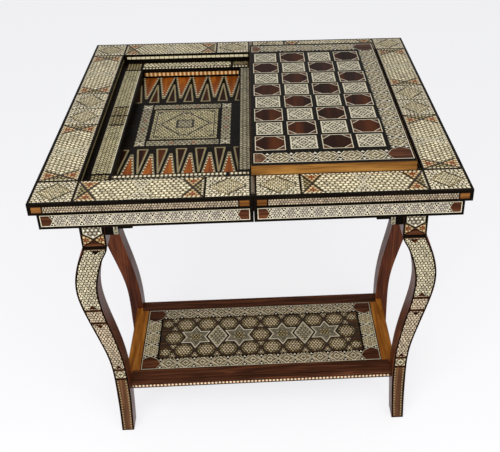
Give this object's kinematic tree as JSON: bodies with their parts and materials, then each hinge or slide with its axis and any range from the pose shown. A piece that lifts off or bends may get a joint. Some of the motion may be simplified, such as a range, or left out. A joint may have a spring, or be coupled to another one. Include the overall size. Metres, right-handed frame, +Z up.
{
  "type": "folding games table",
  "caption": "Fold-over games table with a swivel top, sunk backgammon wells, lift-out inlaid half chess boards, S-curved legs and a low inlaid shelf.",
  "frame": {"origin": "on the floor under the middle of the base", "axes": "+Z up, +X across the two open leaves to the right, +Y from the front to the back"},
  "size_m": [0.7616, 0.74, 0.7793],
  "materials": {
    "walnut": "polished reddish-brown walnut",
    "ebonised_wood": "polished black-stained wood",
    "bone_mosaic": "fine mosaic of bone and wood slivers, polished",
    "dark_walnut": "polished dark walnut",
    "amber_wood": "polished orange-brown fruitwood",
    "beech": "plain sawn beech",
    "brass": "dull brass",
    "steel": "plain steel"
  },
  "bodies": {
    "base": {"apron_front": "walnut", "apron_left": "walnut", "apron_rear": "walnut", "apron_right": "walnut", "leg_front_left": "walnut", "leg_front_right": "walnut", "leg_rear_left": "walnut", "leg_rear_right": "walnut", "pivot_rail": "beech", "shelf_panel": "walnut", "shelf_rail_front": "walnut", "shelf_rail_left": "walnut", "shelf_rail_rear": "walnut", "shelf_rail_right": "walnut", "store_floor": "beech"},
    "swivel_leaf": {"hinge_pins": "brass", "pivot_bolt": "steel", "pivot_nut": "steel", "pivot_washer": "steel", "right_leaf_amber_points": "amber_wood", "right_leaf_border_front": "ebonised_wood", "right_leaf_border_outer": "ebonised_wood", "right_leaf_border_rear": "ebonised_wood", "right_leaf_bottom_board": "beech", "right_leaf_fold_rail": "ebonised_wood", "right_leaf_hinge_plates": "brass", "right_leaf_hinge_screws": "brass", "right_leaf_ledge_front": "ebonised_wood", "right_leaf_ledge_outer": "ebonised_wood", "right_leaf_ledge_rear": "ebonised_wood", "right_leaf_skirt_front": "ebonised_wood", "right_leaf_skirt_outer": "ebonised_wood", "right_leaf_skirt_rear": "ebonised_wood", "right_leaf_walnut_points": "dark_walnut", "right_leaf_well_floor": "ebonised_wood", "stop_peg": "beech"},
    "folding_leaf": {"left_leaf_amber_points": "amber_wood", "left_leaf_border_front": "ebonised_wood", "left_leaf_border_outer": "ebonised_wood", "left_leaf_border_rear": "ebonised_wood", "left_leaf_bottom_board": "beech", "left_leaf_fold_rail": "ebonised_wood", "left_leaf_hinge_plates": "brass", "left_leaf_hinge_screws": "brass", "left_leaf_ledge_front": "ebonised_wood", "left_leaf_ledge_outer": "ebonised_wood", "left_leaf_ledge_rear": "ebonised_wood", "left_leaf_skirt_front": "ebonised_wood", "left_leaf_skirt_outer": "ebonised_wood", "left_leaf_skirt_rear": "ebonised_wood", "left_leaf_walnut_points": "dark_walnut", "left_leaf_well_floor": "ebonised_wood"},
    "lower_half_board": {"lower_chess_board": "amber_wood", "lower_chess_dark_squares": "dark_walnut", "lower_chess_light_squares": "bone_mosaic"},
    "upper_half_board": {"upper_chess_board": "amber_wood", "upper_chess_dark_squares": "dark_walnut", "upper_chess_light_squares": "bone_mosaic"}
  },
  "joints": [
    {"name": "top_swivel", "type": "hinge", "parent": "base", "child": "swivel_leaf", "pos_m": [0.093, 0.093, 0.7055], "axis": [0, 0, 1], "range_deg": [-90, 0]},
    {"name": "leaf_fold", "type": "hinge", "parent": "swivel_leaf", "child": "folding_leaf", "pos_m": [0, 0, 0.7623], "axis": [0, -1, 0], "range_deg": [-180, 0]},
    {"name": "lower_board_lift", "type": "slide", "parent": "swivel_leaf", "child": "lower_half_board", "axis": [0, 0, 1], "range_m": [0, 0.12]},
    {"name": "upper_board_lift", "type": "slide", "parent": "lower_half_board", "child": "upper_half_board", "axis": [0, 0, 1], "range_m": [0, 0.12]}
  ]
}
